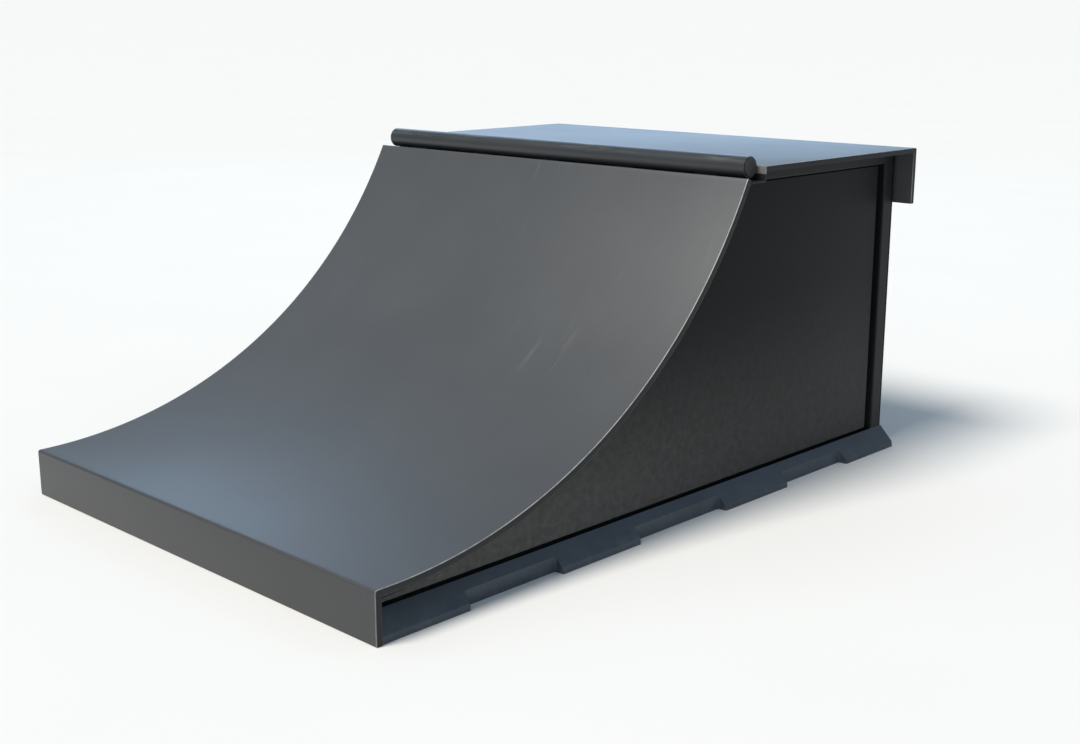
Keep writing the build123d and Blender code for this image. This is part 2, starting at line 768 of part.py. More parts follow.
with BuildPart() as rear_panel:
    with BuildSketch(cross_plane(post_rear)):
        with Locations((0, (rear_panel_lift + deck_under) / 2)):
            Rectangle(2 * face_x, deck_under - rear_panel_lift)
        with Locations((0, hatch_middle_z)):
            RectangleRounded(
                hatch_opening_width, hatch_opening_height, hatch_corner_radius, mode=Mode.SUBTRACT
            )
        for side, sign in sides:
            with Locations((sign * vent_x, hatch_middle_z)):
                with GridLocations(0, vent_slot_pitch, 1, vent_slot_count):
                    SlotOverall(vent_slot_length, vent_slot_width, mode=Mode.SUBTRACT)
    extrude(amount=-rear_sheet)
    add(screw_hole_cutter(screw_places, post_rear, rear_sheet_outer), mode=Mode.SUBTRACT)
save(rear_panel, "rear_panel")

for side, sign in sides:
    with BuildPart() as rear_jamb:
        foot = Plane(origin=(sign * jamb_x, post_rear - jamb_width / 2, base_rail_top))
        extrude(tube_section(foot, jamb_width, jamb_width), amount=rail_under - base_rail_top)
        places = [(sign * jamb_x, z) for z in jamb_screw_heights]
        add(screw_hole_cutter(places, screw_tip_y, post_rear), mode=Mode.SUBTRACT)
    save(rear_jamb, f"rear_jamb_{side}")

with BuildPart() as rear_screws:
    with BuildSketch(rear_plane(rear_sheet_outer)):
        with Locations([(-x, z) for x, z in screw_places]):
            Circle(rear_screw_head / 2)
    extrude(amount=rear_screw_head_height)
    head_rims = rear_screws.faces().filter_by(Axis.Y).sort_by(Axis.Y)[-len(screw_places):].edges()
    fillet(head_rims, rear_screw_dome_radius)
    with BuildSketch(rear_plane(rear_sheet_outer)):
        with Locations([(-x, z) for x, z in screw_places]):
            Circle(rear_screw_diameter / 2)
    extrude(amount=-rear_screw_length)
save(rear_screws, "rear_screws")

# ---- access hatch: a folded tray in the rear opening -------------------------------------------
tray_front = rear_sheet_outer - hatch_tray_depth
latch_heights = {
    "lower": hatch_opening_sill + latch_height_distance,
    "upper": hatch_opening_top - latch_height_distance,
}
hatch_width = hatch_opening_width - 2 * hatch_gap
hatch_height = hatch_opening_height - 2 * hatch_gap
with BuildPart() as access_hatch:
    with BuildSketch(cross_plane(tray_front)):
        with Locations((0, hatch_middle_z)):
            RectangleRounded(hatch_width, hatch_height, hatch_corner_radius)
    extrude(amount=-hatch_tray_depth)
    fillet(access_hatch.faces().sort_by(Axis.Y)[-1].edges(), hatch_edge_radius)
    with BuildSketch(cross_plane(tray_front)):
        with Locations((0, hatch_middle_z)):
            RectangleRounded(
                hatch_width - 2 * rear_sheet,
                hatch_height - 2 * rear_sheet,
                hatch_corner_radius - rear_sheet,
            )
    extrude(amount=rear_sheet - hatch_tray_depth, mode=Mode.SUBTRACT)
    with BuildSketch(cross_plane(tray_front)):
        with Locations([(latch_x, z) for z in latch_heights.values()]):
            Circle(latch_shaft_diameter / 2 + running_clearance)
    extrude(amount=-hatch_tray_depth, mode=Mode.SUBTRACT)
save(access_hatch, "access_hatch")

# ---- hatch hinges: leaves with alternate knuckles, and headed pins -----------------------------
knuckle_length = (hinge_height - (knuckle_count - 1) * knuckle_gap) / knuckle_count
hinge_middles = [hatch_opening_sill + hinge_edge_distance, hatch_opening_top - hinge_edge_distance]


def hinge_leaf(sign, knuckle_numbers):
    """One leaf of each hinge, on the side of the pin that sign gives, with its knuckles."""
    near = knuckle_diameter / 2 + moving_gap
    leaf_y = rear_sheet_outer + hinge_leaf_thickness / 2
    with BuildPart() as leaf:
        for middle in hinge_middles:
            low = middle - hinge_height / 2
            with BuildSketch(Plane.XY.offset(low)):
                with Locations((hinge_axis_x + sign * (near + hinge_leaf_width) / 2, leaf_y)):
                    Rectangle(hinge_leaf_width - near, hinge_leaf_thickness)
            extrude(amount=hinge_height)
            for number in knuckle_numbers:
                with BuildSketch(Plane.XY.offset(low + number * (knuckle_length + knuckle_gap))):
                    with Locations((hinge_axis_x + sign * hinge_leaf_width / 4, leaf_y)):
                        Rectangle(hinge_leaf_width / 2, hinge_leaf_thickness)
                    with Locations((hinge_axis_x, hinge_axis_y)):
                        Circle(knuckle_diameter / 2)
                        Circle(pin_diameter / 2 + running_clearance, mode=Mode.SUBTRACT)
                extrude(amount=knuckle_length)
    return leaf


save(hinge_leaf(-1, (0, 2)), "hinge_fixed_leaves")
save(hinge_leaf(1, (1,)), "hinge_moving_leaves")

with BuildPart() as hinge_pins:
    for middle in hinge_middles:
        low = middle - hinge_height / 2
        with BuildSketch(Plane.XY.offset(low)):
            with Locations((hinge_axis_x, hinge_axis_y)):
                Circle(pin_diameter / 2)
        extrude(amount=hinge_height)
        with BuildSketch(Plane.XY.offset(low - pin_head_height), Plane.XY.offset(low + hinge_height)):
            with Locations((hinge_axis_x, hinge_axis_y)):
                Circle(pin_head_diameter / 2)
        extrude(amount=pin_head_height)
save(hinge_pins, "hinge_pins")

# ---- quarter-turn latches: grip and shaft, collar, cam ------------------------------------------
plate_y = rear_sheet_outer + moving_gap
collar_y = rear_sheet_outer - rear_sheet - moving_gap
cam_rear_y = cam_front_y + cam_thickness
for level, z in latch_heights.items():
    with BuildPart() as latch_grip:
        with BuildSketch(rear_plane(plate_y, latch_x, z)):
            Circle(latch_plate_diameter / 2)
        extrude(amount=latch_plate_thickness)
        chamfer(latch_grip.edges().sort_by(Axis.Y)[-1], 1)
        with BuildSketch(rear_plane(plate_y + latch_plate_thickness, latch_x, z)):
            SlotOverall(latch_grip_length, latch_grip_width, rotation=90)
        extrude(amount=latch_grip_height)
        fillet(latch_grip.faces().sort_by(Axis.Y)[-1].edges(), 2)
        with BuildSketch(cross_plane(plate_y, latch_x, z)):
            Circle(latch_shaft_diameter / 2)
        extrude(amount=plate_y - cam_front_y)
    save(latch_grip, f"latch_grip_{level}")

    with BuildPart() as latch_collar:
        with BuildSketch(cross_plane(collar_y, latch_x, z)):
            Circle(latch_collar_diameter / 2)
            Circle(latch_shaft_diameter / 2, mode=Mode.SUBTRACT)
        extrude(amount=latch_collar_length)
    save(latch_collar, f"latch_collar_{level}")

    with BuildPart() as latch_cam:
        with BuildSketch(cross_plane(cam_rear_y, latch_x, z)):
            with Locations((0, -cam_reach / 2)):
                SlotOverall(cam_reach + cam_width, cam_width, rotation=90)
            Circle(latch_shaft_diameter / 2, mode=Mode.SUBTRACT)
        extrude(amount=cam_thickness)
    save(latch_cam, f"latch_cam_{level}")

# ---- screw feet: brackets and weld nuts on the base rails, spindles on swivel pads --------------
foot_x = frame_inner_x - foot_side_distance
bracket_under = base_rail_top - foot_bracket_thickness
foot_rows = {"front": front + foot_front_setback, "rear": post_rear - foot_rear_setback}
foot_places = [(sign * foot_x, y) for y in foot_rows.values() for side, sign in sides]
bracket_shift = foot_bracket_size / 2 - foot_side_distance
bracket_places = [(x - copysign(bracket_shift, x), y) for x, y in foot_places]
clear_radius = foot_spindle_diameter / 2 + running_clearance

with BuildPart() as foot_brackets:
    with BuildSketch(Plane.XY.offset(bracket_under)):
        with Locations(bracket_places):
            Rectangle(foot_bracket_size, foot_bracket_size)
        with Locations(foot_places):
            Circle(clear_radius, mode=Mode.SUBTRACT)
    extrude(amount=foot_bracket_thickness)
save(foot_brackets, "foot_brackets")

with BuildPart() as foot_nuts:
    with BuildSketch(Plane.XY.offset(base_rail_top)):
        with Locations(foot_places):
            RegularPolygon(foot_nut_flats / 2, 6, major_radius=False)
            Circle(clear_radius, mode=Mode.SUBTRACT)
    extrude(amount=foot_nut_height)
save(foot_nuts, "foot_nuts")

shank_length = foot_spindle_length - foot_spindle_square_height
for end, y in foot_rows.items():
    for side, sign in sides:
        spot = Plane(origin=(sign * foot_x, y, 0))
        with BuildPart() as foot_spindle:
            with BuildSketch(spot.offset(foot_pad_floor)):
                Circle(foot_spindle_diameter / 2)
            extrude(amount=shank_length)
            with BuildSketch(spot.offset(foot_pad_floor + shank_length)):
                Rectangle(foot_spindle_square, foot_spindle_square)
            extrude(amount=foot_spindle_square_height)
        save(foot_spindle, f"foot_spindle_{end}_{side}")

        with BuildPart() as foot_pad:
            with BuildSketch(spot):
                Circle(foot_pad_diameter / 2)
            extrude(amount=foot_pad_height)
            fillet(foot_pad.edges().group_by(Axis.Z)[-1], foot_pad_edge_radius)
            with BuildSketch(spot.offset(foot_pad_floor)):
                Circle(foot_spindle_diameter / 2)
            extrude(amount=foot_pad_height, mode=Mode.SUBTRACT)
        save(foot_pad, f"foot_pad_{end}_{side}")
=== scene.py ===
import json
import math

import bmesh
import bpy
from mathutils import Matrix, Vector


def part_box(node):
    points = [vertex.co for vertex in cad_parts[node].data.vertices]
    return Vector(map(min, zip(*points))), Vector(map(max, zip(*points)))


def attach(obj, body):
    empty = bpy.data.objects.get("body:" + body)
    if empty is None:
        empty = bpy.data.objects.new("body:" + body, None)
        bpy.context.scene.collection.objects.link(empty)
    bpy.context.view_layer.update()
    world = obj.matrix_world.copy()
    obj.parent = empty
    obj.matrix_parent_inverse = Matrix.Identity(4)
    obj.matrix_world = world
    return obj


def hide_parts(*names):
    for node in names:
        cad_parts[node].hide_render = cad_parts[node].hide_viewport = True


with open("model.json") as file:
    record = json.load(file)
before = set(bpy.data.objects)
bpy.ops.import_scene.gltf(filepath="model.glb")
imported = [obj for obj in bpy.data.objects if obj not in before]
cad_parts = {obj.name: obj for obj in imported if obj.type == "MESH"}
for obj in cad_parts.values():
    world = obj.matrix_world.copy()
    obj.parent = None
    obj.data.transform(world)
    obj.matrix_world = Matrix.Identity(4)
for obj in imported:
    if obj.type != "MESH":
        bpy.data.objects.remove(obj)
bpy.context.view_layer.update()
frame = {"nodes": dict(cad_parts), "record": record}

# ---- sizes in metres, read from the frame where a node's box gives them ----------------------
ride_low, ride_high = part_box("ride_sheet")
deck_low, deck_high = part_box("deck_sheet")
tube_low, tube_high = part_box("coping_tube")
channel_low, channel_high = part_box("coping_channel")
hatch_low, hatch_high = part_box("access_hatch")
top_rail_low, top_rail_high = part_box("top_rail_right")

ride_thickness = 0.015
ride_flat = 0.003
ride_radius = 1.162
apron_height = 0.108
apron_bend_radius = 0.006
deck_thickness = 0.012
deck_bend_radius = 0.004
edge_radius = 0.0016
ride_edge_radius = 0.003
rail_depth = top_rail_high.z - top_rail_low.z

arc_y = ride_low.y + ride_thickness + ride_flat
arc_z = apron_height + ride_radius
crest_angle = math.acos((arc_z - ride_high.z) / ride_radius)

coping_y = (tube_low.y + tube_high.y) / 2
coping_z = (tube_low.z + tube_high.z) / 2
coping_radius = (tube_high.z - tube_low.z) / 2
coping_wall = 0.0032
coping_rim = coping_wall / 4
plug_clearance = 0.0002
plug_rim = 0.001
plug_dish_share = 0.6
plug_dish_depth = 0.0015
channel_thickness = 0.004
bare_highlight_depth = 0.018
bare_highlight_fade = 0.003

panel_sheet = 0.003
panel_edge_radius = 0.003
panel_gap = 0.0015
panel_radius = ride_radius + ride_thickness + rail_depth + panel_gap

skirt_top = 0.050
skirt_lip_height = 0.013
skirt_lip_batter = 0.003
notch_face_reach = 0.017
notch_corner_radius = 0.006
pad_corner_radius = 0.005
skirt_end_pad = 0.217
skirt_pad = 0.240
skirt_pad_offset = 0.267
skirt_lip_radius = 0.0025
skirt_edge_radius = 0.0007

hatch_corner_radius = 0.012
hatch_rim_radius = 0.002
hatch_wall = 0.003
hatch_back_gap = 0.0002
press_depth = 0.0014
press_inset = 0.060
press_width = 0.005
press_radius = 0.020
press_middle_radius = 0.0185
press_floor_radius = 0.017
flat_margin = 0.0006
margin_radius = 0.0004

latch_shaft_radius = 0.006
latch_plate_gap = 0.0004
latch_plate_thickness = 0.003
latch_shaft_reach = 0.001
wing_half_length = 0.017
wing_half_width = 0.0045
wing_sink = 0.0005
wing_crown_radius = 0.002

sole_edge = 0.001
sole_height = 0.0045
shoulder_inset = 0.0012
shoulder_height = 0.0068
crown_inset = 0.004
crown_height = 0.0078
boss_foot_radius = 0.0145
boss_foot_height = 0.0082
boss_radius = 0.0125
boss_bore_radius = 0.0082

curve_steps = 120
round_steps = 96
foot_steps = 64

near = 1e-5
weld = 1e-6
last_weld = 2e-6


# ---- materials -----------------------------------------------------------------------------------
class Wire:
    """One output in a material's nodes. Arithmetic on it adds Math nodes."""

    def __init__(self, tree, socket):
        self.tree = tree
        self.socket = socket

    def node(self, kind, settings, values, output=0):
        """Any node: settings go on the node, values or wires on its inputs; returns one output."""
        made = self.tree.nodes.new(kind)
        for name, value in settings.items():
            setattr(made, name, value)
        for key, value in values.items():
            if isinstance(value, Wire):
                self.tree.links.new(value.socket, made.inputs[key])
            else:
                made.inputs[key].default_value = value
        return Wire(self.tree, made.outputs[output])

    def sum_with(self, operation, first, second):
        return self.node("ShaderNodeMath", {"operation": operation}, {0: first, 1: second})

    def __add__(self, other):
        return self.sum_with("ADD", self, other)

    def __radd__(self, other):
        return self.sum_with("ADD", other, self)

    def __rsub__(self, other):
        return self.sum_with("SUBTRACT", other, self)

    def __mul__(self, other):
        return self.sum_with("MULTIPLY", self, other)

    def __rmul__(self, other):
        return self.sum_with("MULTIPLY", other, self)

    def band(self, low, high):
        """0 below low, 1 above high, smooth between."""
        return self.node(
            "ShaderNodeMapRange",
            {"interpolation_type": "SMOOTHSTEP"},
            {"Value": self, "From Min": low, "From Max": high, "To Min": 0.0, "To Max": 1.0},
        )


class Finish:
    """A material under way: its shader, its place on the object, and its noises."""

    def __init__(self, name):
        self.material = bpy.data.materials.new(name)
        self.material.use_nodes = True
        self.tree = self.material.node_tree
        self.shader = self.tree.nodes["Principled BSDF"]
        place = self.tree.nodes.new("ShaderNodeTexCoord")
        self.place = Wire(self.tree, place.outputs["Object"])
        split = self.tree.nodes.new("ShaderNodeSeparateXYZ")
        self.tree.links.new(place.outputs["Object"], split.inputs[0])
        self.x, self.y, self.z = (Wire(self.tree, split.outputs[i]) for i in range(3))
        turned = Wire(self.tree, place.outputs["Normal"])
        facing = self.place.node("ShaderNodeSeparateXYZ", {}, {0: turned})
        self.sideways = facing.node("ShaderNodeMath", {"operation": "ABSOLUTE"}, {0: facing})

    def noise(self, scale, detail=3.0, roughness=0.55, stretch=(1.0, 1.0, 1.0), shift=(0.0, 0.0, 0.0)):
        """Noise of about 0 to 1, with scale in cycles a metre along each axis."""
        place = self.place.node(
            "ShaderNodeMapping", {}, {"Vector": self.place, "Location": shift, "Scale": stretch}
        )
        return self.place.node(
            "ShaderNodeTexNoise",
            {},
            {"Vector": place, "Scale": scale, "Detail": detail, "Roughness": roughness},
        )

    def mix(self, factor, first, second):
        """A colour between two colours."""
        return self.place.node(
            "ShaderNodeMix",
            {"data_type": "RGBA"},
            {0: factor, 6: first, 7: second},
            output=2,
        )

    def bump(self, height, distance, strength=1.0, under=None):
        """A normal bent by a height in metres times distance."""
        values = {"Height": height, "Distance": distance, "Strength": strength}
        if under is not None:
            values["Normal"] = under
        return self.place.node("ShaderNodeBump", {}, values)

    def done(self, color, roughness, normal=None, metallic=0.0, **fixed):
        """Joins the wires to the shader and sets its constants."""
        wanted = {"Base Color": color, "Roughness": roughness, "Metallic": metallic, "Normal": normal}
        for name, value in wanted.items():
            if isinstance(value, Wire):
                self.tree.links.new(value.socket, self.shader.inputs[name])
            elif value is not None:
                self.shader.inputs[name].default_value = value
        for name, value in fixed.items():
            self.shader.inputs[name.replace("_", " ")].default_value = value
        return self.material


def grey(level, tint=(1.0, 1.0, 1.0)):
    """A near-grey colour: a level times a slight tint."""
    return (level * tint[0], level * tint[1], level * tint[2], 1.0)


cool = (0.94, 1.0, 1.08)
warm = (1.05, 1.0, 0.93)


def sheet_composite():
    """Dense riding composite: dark grey, fine speckle, wheel scuffs along the direction of travel."""
    look = Finish("riding composite")
    speckle = look.noise(1900.0, 2.0, 0.6)
    cloud = look.noise(3.2, 4.0, 0.55)
    rolled = look.noise(26.0, 5.0, 0.62, stretch=(4.0, 0.22, 0.22), shift=(3.1, 0.4, 1.7))
    scuffs = rolled.band(0.54, 0.74)
    marks = look.noise(5.0, 3.0, 0.5, shift=(7.0, 2.0, 0.0)).band(0.46, 0.66)
    worn = scuffs * marks
    base = look.mix(cloud.band(0.3, 0.7), grey(0.057, cool), grey(0.064, cool))
    grained = look.mix(speckle.band(0.50, 0.72) * 0.35, base, grey(0.15, warm))
    rubbed = look.mix(worn * 0.25, grained, grey(0.17, warm))
    # Faces turned along X are painted near-black: a painted shade on the sheet's side faces.
    side_face_shade = look.sideways.band(0.80, 0.97)
    # The rounded arris is painted lighter: edge wear and a painted highlight along the sheet's edges.
    arris = look.sideways.band(0.12, 0.30) * (1.0 - look.sideways.band(0.50, 0.75))
    broken = look.noise(70.0, 4.0, 0.65, shift=(6.0, 3.0, 1.0)).band(0.30, 0.62)
    edge_wear_and_highlight = arris * (0.45 + 0.55 * broken)
    with_edge_wear_and_highlight = look.mix(edge_wear_and_highlight * 0.85, rubbed, grey(0.50, warm))
    # The apron's whole front face is made darker, mottled by the cloud noise.
    riser = 1.0 - look.y.band(ride_low.y + 0.001, ride_low.y + 0.006)
    darker_front_face = look.mix(riser * (0.30 + 0.25 * cloud), with_edge_wear_and_highlight, grey(0.014, warm))
    color = look.mix(side_face_shade, darker_front_face, grey(0.008, cool))
    roughness = 0.40 + 0.10 * cloud + 0.12 * worn + 0.22 * side_face_shade
    fine = look.bump(speckle, 0.00012, 0.35)
    normal = look.bump(look.noise(46.0, 2.0), 0.0006, 0.10, under=fine)
    return look.done(color, roughness, normal, Specular_IOR_Level=0.55)


def powder_coat(name, level, gloss=0.30, dust=0.55, tint=cool):
    """Satin powder coat: orange peel, faint handling marks, dust and rubs towards the ground, and there
    a painted warm floor bounce as well: lighter low down and at the front.
    """
    look = Finish(name)
    peel = look.noise(620.0, 2.0, 0.5)
    cloud = look.noise(4.5, 4.0, 0.6, shift=(1.3, 5.1, 2.2))
    drawn = look.noise(60.0, 4.0, 0.65, stretch=(1.0, 0.25, 2.2), shift=(0.2, 0.9, 4.0))
    streaks = drawn.band(0.56, 0.78)
    # Lighter warm tint near the ground and at the front: dust, and a painted warm floor bounce; dust
    # sets its strength.
    low = (1.0 - look.z.band(0.0, 0.50)) * (1.0 - 0.5 * look.y.band(-0.75, 0.45))
    settled = look.noise(55.0, 6.0, 0.7, shift=(4.0, 4.0, 4.0)).band(0.25, 0.8)
    dusty = low * (0.55 + 0.45 * settled) * dust
    base = look.mix(cloud.band(0.3, 0.72), grey(level * 0.94, tint), grey(level * 1.07, tint))
    rubbed = look.mix(streaks * 0.10, base, grey(level * 2.4, warm))
    color = look.mix(dusty * 0.40, rubbed, grey(0.20, (1.04, 1.0, 0.95)))
    roughness = 0.44 + 0.06 * cloud + 0.12 * dusty + 0.05 * streaks
    normal = look.bump(peel, 0.00010, 0.30)
    return look.done(color, roughness, normal, Specular_IOR_Level=gloss)


def coping_steel():
    """Painted coping tube, its coat rubbed thin along the top where boards slide; the lighter bare
    streaks also stand as painted highlights along the top.
    """
    look = Finish("coping steel")
    lengthwise = look.noise(34.0, 5.0, 0.66, stretch=(0.16, 1.6, 1.6), shift=(2.0, 1.0, 3.0))
    cloud = look.noise(7.0, 4.0)
    top = look.z.band(coping_z + coping_radius * 0.35, coping_z + coping_radius * 0.98)
    # Lighter metal streaks along the top: grind wear and a painted highlight.
    bare_and_highlight = (top * lengthwise.band(0.47, 0.66)) * 0.85
    base = look.mix(cloud, grey(0.023, cool), grey(0.035, cool))
    color = look.mix(bare_and_highlight * 0.55, base, grey(0.30, (1.0, 0.98, 0.95)))
    roughness = 0.30 + 0.10 * cloud + 0.10 * lengthwise
    normal = look.bump(lengthwise, 0.00015, 0.35)
    return look.done(color, roughness, normal, metallic=bare_and_highlight * 0.6, Specular_IOR_Level=0.55)


def moulded(name, level, tint=cool, grain=1500.0, gloss=0.46):
    """Moulded plastic or rubber: fine spark-grained skin, a little dust in its low parts."""
    look = Finish(name)
    skin = look.noise(grain, 2.0, 0.55)
    cloud = look.noise(8.0, 4.0, 0.6, shift=(2.2, 0.1, 6.0))
    low = 1.0 - look.z.band(0.0, 0.06)
    dusty = low * look.noise(30.0, 5.0, 0.65).band(0.35, 0.75)
    base = look.mix(cloud.band(0.3, 0.7), grey(level * 0.88, tint), grey(level * 1.12, tint))
    color = look.mix(dusty * 0.14, base, grey(0.27, (1.1, 1.0, 0.86)))
    roughness = gloss + 0.08 * cloud + 0.12 * dusty
    normal = look.bump(skin, 0.00010, 0.45)
    return look.done(color, roughness, normal, Specular_IOR_Level=0.5)


def channel_sheet():
    """Painted channel, its upstand's top edge drawn as rubbed-back spangled galvanising that stands as a
    painted highlight.
    """
    look = Finish("coping channel sheet")
    cells = {"Vector": look.place, "Scale": 85.0}
    spangle = look.place.node("ShaderNodeTexVoronoi", {}, cells, output=1)
    tone = look.place.node("ShaderNodeSeparateXYZ", {}, {0: spangle})
    bloom = look.noise(24.0, 4.0, 0.6)
    # The light strip on the upstand's top edge is a painted highlight, drawn as worn bare galvanising.
    bare_and_highlight = look.z.band(channel_high.z - bare_highlight_depth, channel_high.z - bare_highlight_depth + bare_highlight_fade)
    bare_and_highlight = bare_and_highlight * look.y.band(channel_high.y - 0.0060, channel_high.y - 0.0045)
    zinc = look.mix(0.6 * tone + 0.4 * bloom, grey(0.22, warm), grey(0.34, warm))
    color = look.mix(bare_and_highlight * (0.75 + 0.25 * bloom), grey(0.013, cool), zinc)
    normal = look.bump(bloom, 0.00020, 0.3)
    return look.done(color, 0.46 + 0.14 * tone, normal, metallic=bare_and_highlight * 0.5, Specular_IOR_Level=0.3)


def zinc_plate():
    """Zinc-plated fixings: bright grey metal with a faint clouded bloom and fine turning marks."""
    look = Finish("zinc plate")
    bloom = look.noise(210.0, 5.0, 0.6)
    turned = look.noise(1600.0, 2.0, 0.5, stretch=(1.0, 1.0, 3.0))
    color = look.mix(bloom.band(0.3, 0.75), grey(0.46, (1.0, 1.0, 1.02)), grey(0.60, (1.03, 1.0, 0.93)))
    roughness = 0.30 + 0.20 * bloom
    normal = look.bump(turned, 0.00006, 0.35)
    return look.done(color, roughness, normal, metallic=1.0)


def rubber():
    """Foot rubber: matt black with a dusty tread edge."""
    look = Finish("foot rubber")
    skin = look.noise(900.0, 3.0, 0.6)
    dusty = (1.0 - look.z.band(0.0, 0.009)) * look.noise(120.0, 4.0).band(0.35, 0.7)
    color = look.mix(dusty * 0.3, grey(0.022), grey(0.16, warm))
    normal = look.bump(skin, 0.00016, 0.5)
    return look.done(color, 0.70 + 0.12 * skin, normal, Specular_IOR_Level=0.35)


looks = {
    "composite_sheet": sheet_composite(),
    "coping_steel": coping_steel(),
    "frame_steel": powder_coat("frame powder coat", 0.011, gloss=0.16, dust=0.35),
    # The panel's high dust setting paints dust and a strong painted floor bounce on its low parts.
    "panel_steel": powder_coat("panel powder coat", 0.0075, gloss=0.12, dust=1.5),
    # The skirt's strong blue tint is a painted sky reflection on its upward-facing slope.
    "skirt_rubber": moulded("skirt moulding", 0.064, (0.76, 1.0, 1.32)),
    "plug_plastic": moulded("plug plastic", 0.020, grain=2400.0, gloss=0.50),
    "zinc_hardware": zinc_plate(),
    "hinge_steel": powder_coat("hinge powder coat", 0.030, dust=0.2),
    "latch_black": moulded("latch nylon", 0.016, grain=2600.0, gloss=0.38),
    "foot_rubber": rubber(),
}
own_looks = {"coping_channel": channel_sheet()}
slot_of = {part["node"]: part["material_slot"] for part in frame["record"]["subparts"]}
bodies = frame["record"]["behaviour"]["bodies"]
body_of = {node: body for body, nodes in bodies.items() for node in nodes}

for node, piece in frame["nodes"].items():
    piece.data.materials.clear()
    piece.data.materials.append(own_looks.get(node, looks[slot_of[node]]))


# ---- mesh tools ------------------------------------------------------------------------------
def turned_edges(bm, degrees):
    """Edges where two faces meet at more than an angle."""
    limit = math.radians(degrees)
    return [e for e in bm.edges if len(e.link_faces) == 2 and e.calc_face_angle(0.0) > limit]


def edges_at(bm, y, z):
    """Edges that run along X at one y and z."""
    return [
        e
        for e in bm.edges
        if all(abs(v.co.y - y) < near and abs(v.co.z - z) < near for v in e.verts)
    ]


def bevel(bm, geom, radius, steps, affect):
    bmesh.ops.bevel(
        bm,
        geom=geom,
        offset=radius,
        offset_type="OFFSET",
        segments=steps,
        profile=0.5,
        affect=affect,
        material=-1,
        clamp_overlap=True,
    )


def round_edges(bm, edges, radius, steps=3):
    bevel(bm, edges, radius, steps, "EDGES")


def round_corners(bm, corners, radius, steps=6):
    bevel(bm, corners, radius, steps, "VERTICES")


def wire(bm, points, closed=False):
    """Edges through points in order, closed into a loop if asked."""
    corners = [bm.verts.new(p) for p in points]
    following = corners[1:] + corners[:1] if closed else corners[1:]
    for pair in zip(corners, following):
        bm.edges.new(pair)


def spin_round(bm, middle, axis, steps):
    """Sweeps whatever the bmesh holds once round an axis."""
    bmesh.ops.spin(
        bm,
        geom=bm.verts[:] + bm.edges[:] + bm.faces[:],
        cent=middle,
        axis=axis,
        angle=math.tau,
        steps=steps,
        use_merge=True,
    )
    bmesh.ops.remove_doubles(bm, verts=bm.verts[:], dist=weld)
    bmesh.ops.recalc_face_normals(bm, faces=bm.faces[:])


def close_up(bm):
    """Fills every open rim and turns all faces outwards."""
    bmesh.ops.holes_fill(bm, edges=[e for e in bm.edges if e.is_boundary], sides=0)
    bmesh.ops.recalc_face_normals(bm, faces=bm.faces[:])


def thicken(bm, faces, way):
    """Pulls a flat face into a closed solid along way."""
    back = bmesh.ops.duplicate(bm, geom=faces)
    bmesh.ops.reverse_faces(bm, faces=[g for g in back["geom"] if isinstance(g, bmesh.types.BMFace)])
    pulled = bmesh.ops.extrude_face_region(bm, geom=faces)
    moved = [g for g in pulled["geom"] if isinstance(g, bmesh.types.BMVert)]
    bmesh.ops.translate(bm, verts=moved, vec=way)
    bmesh.ops.remove_doubles(bm, verts=bm.verts[:], dist=weld)
    bmesh.ops.delete(bm, geom=[f for f in bm.faces if inner_face(f)], context="FACES_ONLY")
    bmesh.ops.recalc_face_normals(bm, faces=bm.faces[:])


def inner_face(face):
    """Whether a face lies inside a solid: every one of its edges has more than two faces."""
    return all(len(e.link_faces) > 2 for e in face.edges)


def flat_face(bm, points):
    """A face through corner points, in order."""
    return bm.faces.new([bm.verts.new(p) for p in points])


def finish_piece(bm, node, smooth_below=32.0):
    """Makes the mesh a piece that stands for a CAD node, rides with its body and takes its slot."""
    name = f"finished_{node}"
    bmesh.ops.remove_doubles(bm, verts=bm.verts[:], dist=last_weld)
    mesh = bpy.data.meshes.new(name)
    bm.to_mesh(mesh)
    bm.free()
    piece = bpy.data.objects.new(name, mesh)
    bpy.context.scene.collection.objects.link(piece)
    mesh.materials.append(own_looks.get(node, looks[slot_of[node]]))
    mesh.shade_smooth()
    mesh.set_sharp_from_angle(angle=math.radians(smooth_below))
    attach(piece, body_of[node])
    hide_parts(node)
    return piece


# ---- riding sheet ----------------------------------------------------------------------------
def build_ride_sheet():
    """Apron, bend and curve: the curve is spun from the sheet's section, then pulled across."""
    bm = bmesh.new()
    foot_low = bm.verts.new((ride_low.x, arc_y, arc_z - ride_radius - ride_thickness))
    foot_high = bm.verts.new((ride_low.x, arc_y, arc_z - ride_radius))
    section = bm.edges.new((foot_low, foot_high))
    bmesh.ops.spin(
        bm,
        geom=[foot_low, foot_high, section],
        cent=(ride_low.x, arc_y, arc_z),
        axis=(1, 0, 0),
        angle=crest_angle,
        steps=curve_steps,
    )
    back = ride_low.y + ride_thickness
    corners = [
        (ride_low.y, apron_height),
        (ride_low.y, 0.0),
        (back, 0.0),
        (back, apron_height - ride_thickness),
    ]
    apron = [bm.verts.new((ride_low.x, y, z)) for y, z in corners]
    bm.faces.new([foot_high] + apron + [foot_low])
    bmesh.ops.remove_doubles(bm, verts=bm.verts[:], dist=weld)
    thicken(bm, bm.faces[:], (ride_high.x - ride_low.x, 0, 0))
    round_edges(bm, edges_at(bm, ride_low.y, apron_height), apron_bend_radius, 8)
    round_edges(bm, turned_edges(bm, 50.0), ride_edge_radius, 4)
    return finish_piece(bm, "ride_sheet")


